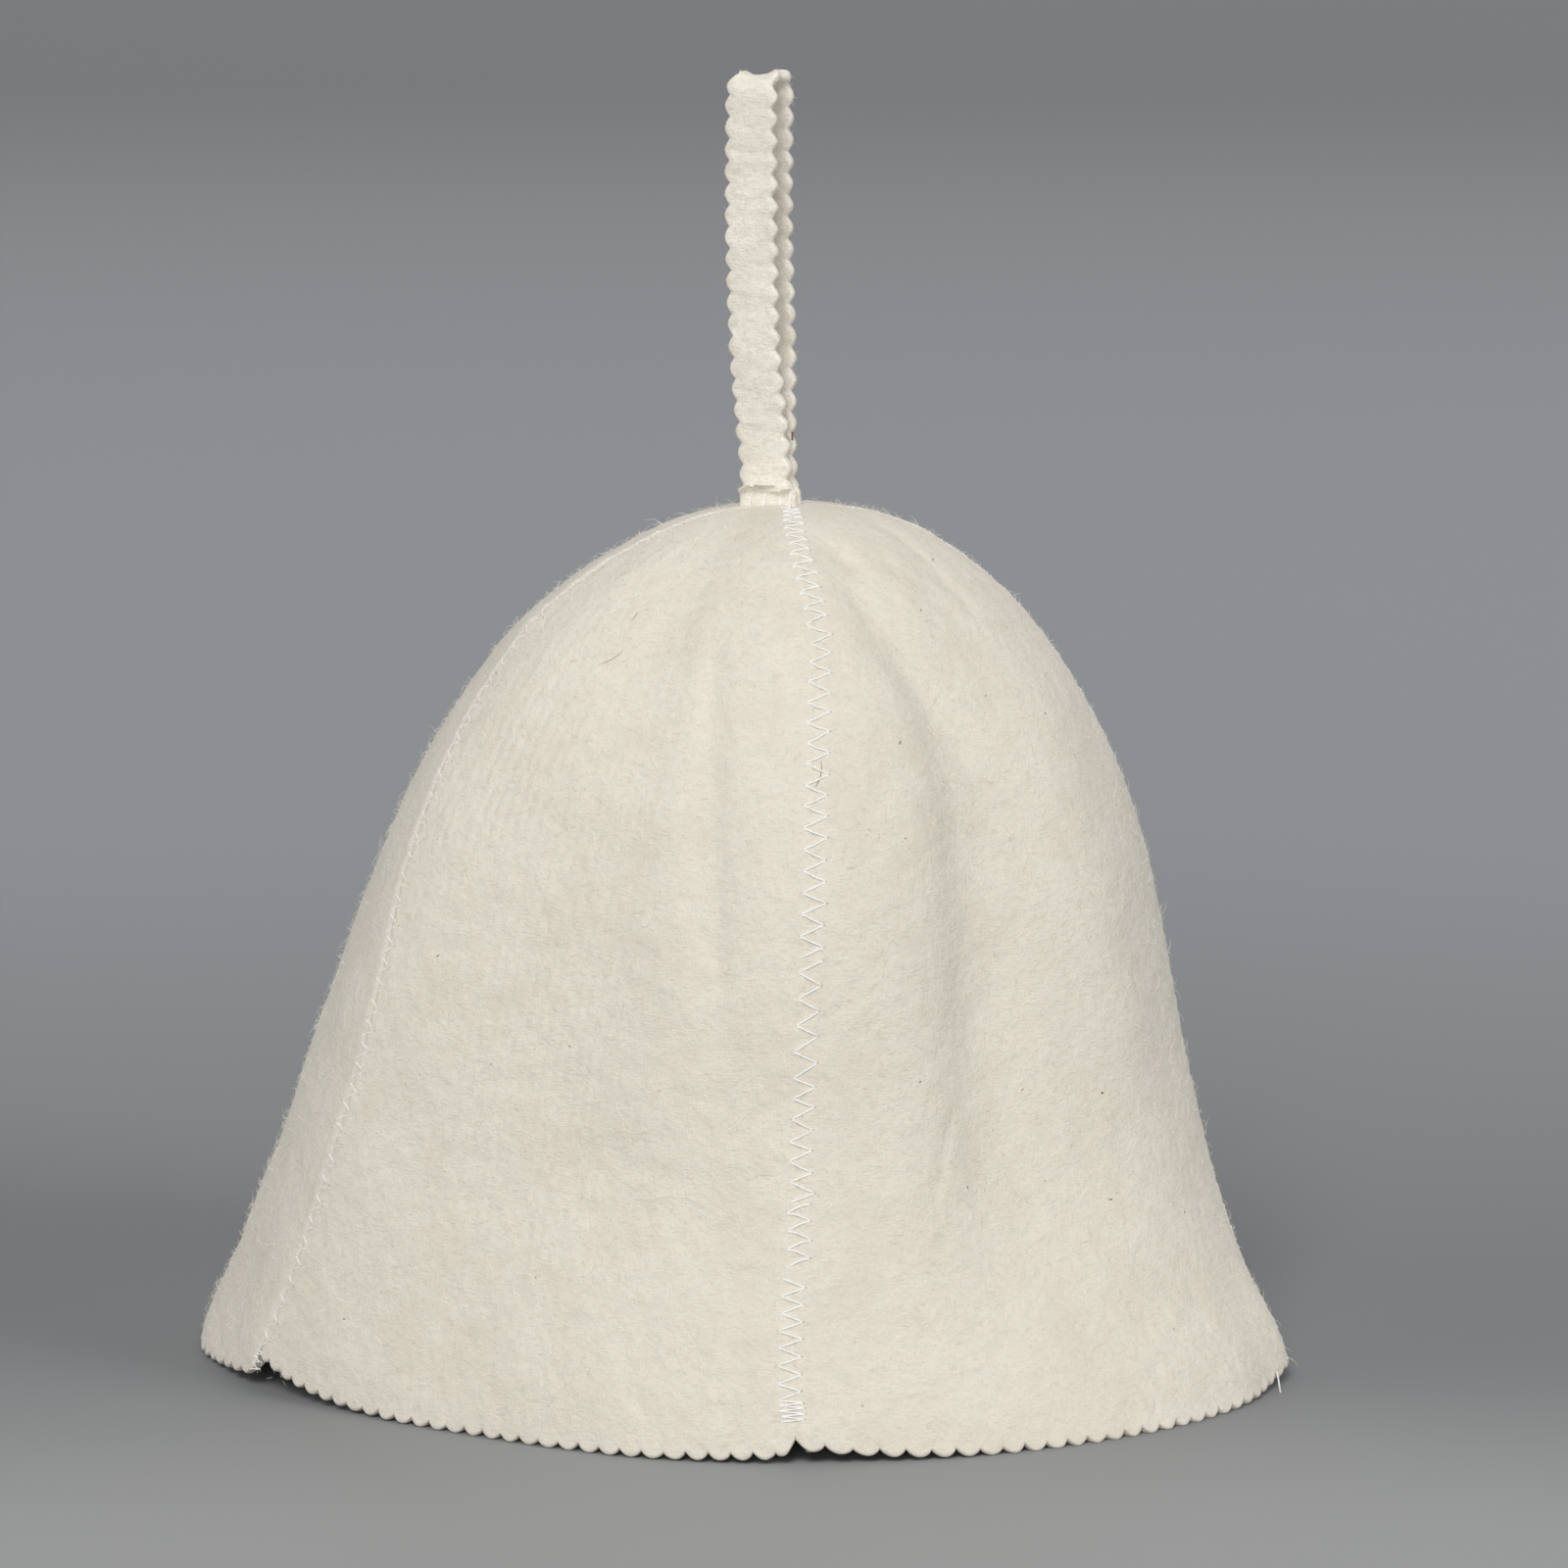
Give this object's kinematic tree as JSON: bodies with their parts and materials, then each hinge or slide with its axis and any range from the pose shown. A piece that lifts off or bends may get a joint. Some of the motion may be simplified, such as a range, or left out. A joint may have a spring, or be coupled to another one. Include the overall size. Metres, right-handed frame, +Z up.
{
  "type": "sauna hat",
  "caption": "Bell-shaped felt sauna hat with sewn gores, a pinked hem and a hanging loop of pinked felt strap at the crown.",
  "frame": {"origin": "middle of the bounding box, on the level the hem stands on", "axes": "+Z up through the crown; the front seam faces -Y and the wearer's left is +X"},
  "size_m": [0.2982, 0.2333, 0.35],
  "materials": {
    "wool_felt": "matte",
    "strap_felt": "matte"
  },
  "bodies": {
    "root": {"gore_front_left": "wool_felt", "gore_front_right": "wool_felt", "gore_back_right": "wool_felt", "gore_back": "wool_felt", "gore_left": "wool_felt", "hanging_loop": "strap_felt"}
  },
  "joints": []
}
